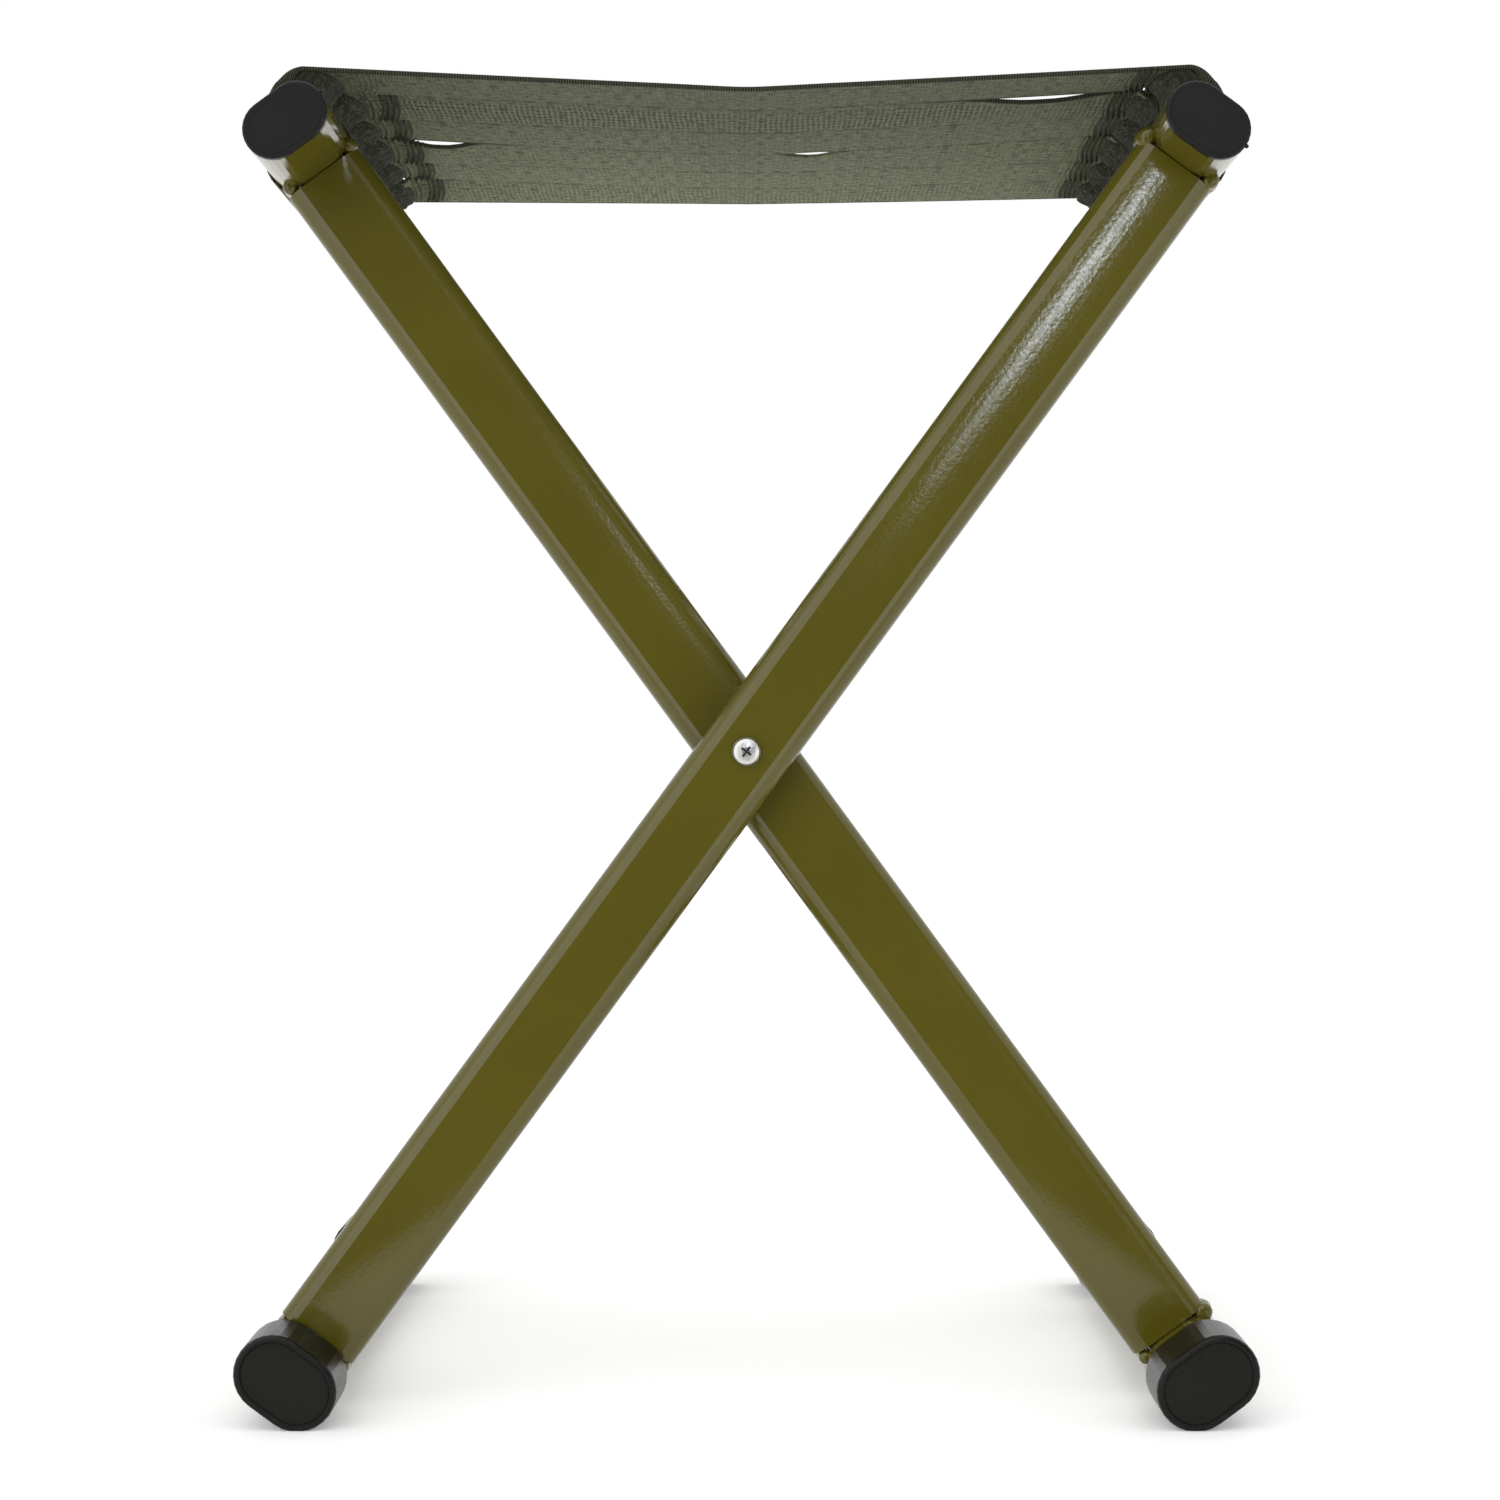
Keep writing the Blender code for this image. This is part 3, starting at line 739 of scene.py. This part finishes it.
def weld(name, sign, body, end, edge, y_middle, half, size, seed):
    """A rippled bead where a leg's narrow side meets a rail.

    end is 1 at the top rail and -1 at the bottom one, and edge is the side of the leg."""
    middle_u = LEG_WIDTH_HALF - 0.0024 + 0.0014 * (size - 0.6)
    middle_w = RAIL_REACH - RAIL_RADIUS + 0.0022 - 0.0012 * (size - 0.6)
    rings = []
    steps, turns = 14, 12
    for i in range(steps + 1):
        t = 2 * i / steps - 1
        ripple = 1 + 0.10 * math.sin(i * 2.2 + seed) + 0.25 * noise.noise(Vector((i * 0.55, seed * 3.3, 0.0)))
        full = (1 - abs(t) ** 4) ** 0.5 * ripple
        row = []
        for j in range(turns):
            c, s = math.cos(2 * math.pi * j / turns), math.sin(2 * math.pi * j / turns)
            bump = 1 + 0.30 * size * noise.noise(Vector((c * 1.3, s * 1.3 + i * 0.4, seed)))
            u = middle_u + (0.0022 + 0.0012 * size) * (0.5 + 0.5 * full) * bump * c
            w = middle_w + (0.0020 + 0.0020 * size) * (0.6 + 0.4 * full) * bump * s
            x, z = to_world(sign, edge * u, end * w)
            row.append((x, y_middle + t * half, z))
        rings.append(row)
    thing = tube(name, rings, PAINT)
    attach(thing, body)


def nib(row, sign, side, body):
    """The moulding gate's stub, on the outer end of a top cap's flange."""
    low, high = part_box(f"cap_{side}_{row}")
    y = (low.y + 0.0012) if row == "front" else (high.y - 0.0012)
    rings = []
    for i in range(7):
        t = 2 * i / 6 - 1
        size = (1 - 0.9 * abs(t) ** 3) ** 0.5
        ring = []
        for j in range(8):
            turn = 2 * math.pi * j / 8
            u = RAIL_STRAIGHT + RAIL_RADIUS + 0.0003 + 0.0007 * size * math.cos(turn)
            w = RAIL_REACH + 0.0005 + 0.0008 * size * math.sin(turn)
            x, z = to_world(sign, u, w)
            ring.append((sign * abs(x), y + 0.0008 * t, z))
        rings.append(ring)
    thing = tube(f"cap_nib_{side}_{row}", rings, PLASTIC)
    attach(thing, body)


WELD_SIZES = {  # at a leg's edge towards +u, then -u
    ("right", "top"): (0.75, 1.20), ("right", "bottom"): (0.45, 0.30),
    ("left", "top"): (0.65, 0.40), ("left", "bottom"): (0.95, 0.30),
}
seed = 0
for side, sign, body in SIDES:
    for row in ("front", "rear"):
        place = middle(f"{body[:5]}_leg_{row}").y
        for end, level in ((1, "top"), (-1, "bottom")):
            for edge, where in ((1, "a"), (-1, "b")):
                seed += 1
                size = WELD_SIZES[side, level][edge < 0]
                name = f"weld_{body[:5]}_{row}_{level}_{where}"
                weld(name, sign, body, end, edge, place, LEG_HALF[side] - 0.0006, size, seed)
        nib(row, sign, side, body)


# ---------------------------------------------------------------- studio

scene = bpy.context.scene
scene.view_settings.view_transform = "Standard"
scene.view_settings.look = "None"


def floor():
    """The floor, from just in front of the stool to far behind it."""
    data = bpy.data.meshes.new("floor")
    front, reach = -0.42, 12.0
    corners = [(-reach, front, 0), (reach, front, 0), (reach, reach, 0), (-reach, reach, 0)]
    data.from_pydata(corners, [], [(0, 1, 2, 3)])
    n = Finish("floor")
    cloud = n.noise(n.coordinates(), 3.0, 2.0)
    n.link(n.mix(cloud, rgb(0.90, 0.90, 0.90), rgb(0.92, 0.92, 0.92)), n.shader.inputs["Base Color"])
    n.set(Roughness=0.9, Specular_IOR_Level=0.1, Emission_Strength=0.20)
    n.shader.inputs["Emission Color"].default_value = rgb(1, 1, 1)
    data.materials.append(n.material)
    made = bpy.data.objects.new("floor", data)
    made.location.z = -0.0002
    scene.collection.objects.link(made)


TOWARDS_LENS = (0.0, -1.0, 0.0)
BESIDE_LENS = (0.519, -0.766, 0.379)  # where the right leg's crowned face looks
# Discs in the tent: direction, inner and outer degrees, strength inside the inner and outside the outer
DISCS = (
    (TOWARDS_LENS, 17, 22, 0.06, 1.0),
    (TOWARDS_LENS, 45, 75, 1.9, 1.05),
    (BESIDE_LENS, 20, 25, 0.10, 1.0),
)


def world():
    """A white tent: brightest in a ring round the lens, dark where the lens looks in, and dimmer below."""
    made = bpy.data.worlds.new("studio")
    scene.world = made
    made.use_nodes = True
    made.node_tree.nodes.clear()
    n = Nodes(made.node_tree)
    place = n.coordinates("Generated")
    height = n.node("ShaderNodeSeparateXYZ")
    n.link(place, height.inputs[0])
    strength = n.ramp(height.outputs[2], -0.45, -0.20, 0.45, 1.0)
    for direction, inner, outer, inside, outside in DISCS:
        dot = n.node("ShaderNodeVectorMath", operation="DOT_PRODUCT")
        n.link(place, dot.inputs[0])
        dot.inputs[1].default_value = direction
        low, high = math.cos(math.radians(outer)), math.cos(math.radians(inner))
        strength = n.math("MULTIPLY", strength, n.ramp(dot.outputs["Value"], low, high, outside, inside))
    lit, seen = n.node("ShaderNodeBackground"), n.node("ShaderNodeBackground")
    for background, value in ((lit, strength), (seen, 1.0)):
        background.inputs[0].default_value = rgb(1, 1, 1)
        n.feed(background.inputs[1], value)
    mix = n.node("ShaderNodeMixShader")
    n.link(n.node("ShaderNodeLightPath").outputs["Is Camera Ray"], mix.inputs[0])
    n.link(lit.outputs[0], mix.inputs[1])
    n.link(seen.outputs[0], mix.inputs[2])
    n.link(mix.outputs[0], n.node("ShaderNodeOutputWorld").inputs[0])


def softbox(name, x, z, width, height, power):
    """A cool strip light in front of the stool, turned in line with the right leg."""
    place = Vector((x, -2.2, z))
    light = bpy.data.lights.new(name, "AREA")
    light.shape = "RECTANGLE"
    light.size, light.size_y = width, height
    light.energy = power
    light.color = (0.84, 0.91, 1.0)
    made = bpy.data.objects.new(name, light)
    made.location = place
    turn = (Vector((0.10, -0.1, 0.32)) - place).to_track_quat("-Z", "Y")
    made.rotation_euler = turn.to_euler()
    made.rotation_euler.rotate_axis("Z", -LEAN)
    made.visible_camera = False
    scene.collection.objects.link(made)


floor()
world()
softbox("key", 0.277, 0.777, 0.11, 0.24, 1.6)
softbox("fill", 0.171, 0.622, 0.09, 0.16, 0.32)

# ---------------------------------------------------------------- camera

lens = bpy.data.cameras.new("camera")
lens.lens = 73.3
lens.sensor_width = 36.0
lens.shift_x = 0.0067
lens.shift_y = -0.006
lens.clip_start = 0.05
camera = bpy.data.objects.new("camera", lens)
camera.location = (-0.0022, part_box("cap_left_front")[0].y - 1.007, PIVOT_Z + 0.0036)
camera.rotation_euler = (math.pi / 2, 0.0, 0.0)
scene.collection.objects.link(camera)
scene.camera = camera
